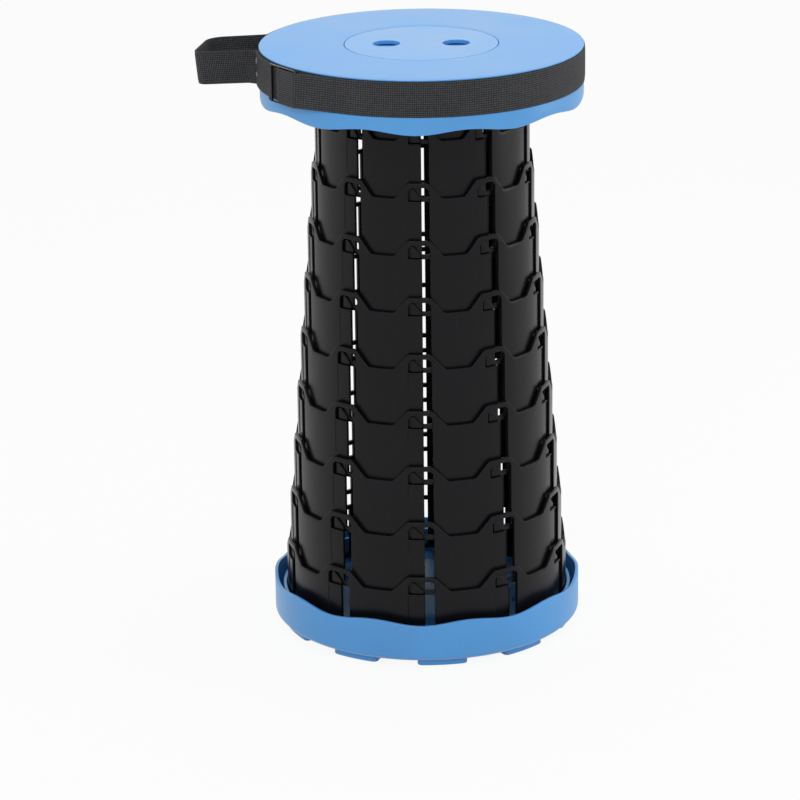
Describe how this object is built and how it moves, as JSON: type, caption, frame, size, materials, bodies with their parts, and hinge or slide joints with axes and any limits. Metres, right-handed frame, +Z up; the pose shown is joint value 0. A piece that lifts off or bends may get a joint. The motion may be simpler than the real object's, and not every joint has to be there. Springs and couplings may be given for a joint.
{
  "type": "stool",
  "caption": "Round folding stool of nested slotted plastic rings between a blue seat and a blue base, with a webbing carry strap",
  "frame": {"origin": "on the floor at the centre of the ring of feet", "axes": "+Z is up along the common axis of the rings and the direction in which they pull out; +X points to the right of the front view, away from the handle loop of the strap; -Y is the front, where one column of slots stands 2.3 degrees to the left of the middle"},
  "size_m": [0.2877, 0.2416, 0.45],
  "materials": {
    "ring_plastic": "satin",
    "shell_plastic": "satin",
    "plug_plastic": "satin",
    "webbing": "woven",
    "buckle_plastic": "satin"
  },
  "bodies": {
    "base": {"base_tray": "shell_plastic", "ring_9": "ring_plastic", "base_centre_plug": "plug_plastic"},
    "stage_8": {"ring_8": "ring_plastic"},
    "stage_7": {"ring_7": "ring_plastic"},
    "stage_6": {"ring_6": "ring_plastic"},
    "stage_5": {"ring_5": "ring_plastic"},
    "stage_4": {"ring_4": "ring_plastic"},
    "stage_3": {"ring_3": "ring_plastic"},
    "stage_2": {"ring_2": "ring_plastic"},
    "stage_1": {"ring_1": "ring_plastic"},
    "seat": {"seat_cover": "shell_plastic", "seat_ring": "ring_plastic", "seat_centre_plug": "plug_plastic", "strap_belt": "webbing", "strap_handle": "webbing", "strap_tail": "webbing", "slider_buckle": "buckle_plastic"}
  },
  "joints": [
    {"name": "slide_8", "type": "slide", "parent": "base", "child": "stage_8", "axis": [0, 0, 1], "range_m": [-0.0423, 0]},
    {"name": "slide_7", "type": "slide", "parent": "stage_8", "child": "stage_7", "axis": [0, 0, 1], "range_m": [-0.0423, 0]},
    {"name": "slide_6", "type": "slide", "parent": "stage_7", "child": "stage_6", "axis": [0, 0, 1], "range_m": [-0.0423, 0]},
    {"name": "slide_5", "type": "slide", "parent": "stage_6", "child": "stage_5", "axis": [0, 0, 1], "range_m": [-0.0423, 0]},
    {"name": "slide_4", "type": "slide", "parent": "stage_5", "child": "stage_4", "axis": [0, 0, 1], "range_m": [-0.0423, 0]},
    {"name": "slide_3", "type": "slide", "parent": "stage_4", "child": "stage_3", "axis": [0, 0, 1], "range_m": [-0.0423, 0]},
    {"name": "slide_2", "type": "slide", "parent": "stage_3", "child": "stage_2", "axis": [0, 0, 1], "range_m": [-0.0423, 0]},
    {"name": "slide_1", "type": "slide", "parent": "stage_2", "child": "stage_1", "axis": [0, 0, 1], "range_m": [-0.0423, 0]},
    {"name": "slide_seat", "type": "slide", "parent": "stage_1", "child": "seat", "axis": [0, 0, 1], "range_m": [-0.0367, 0]}
  ]
}
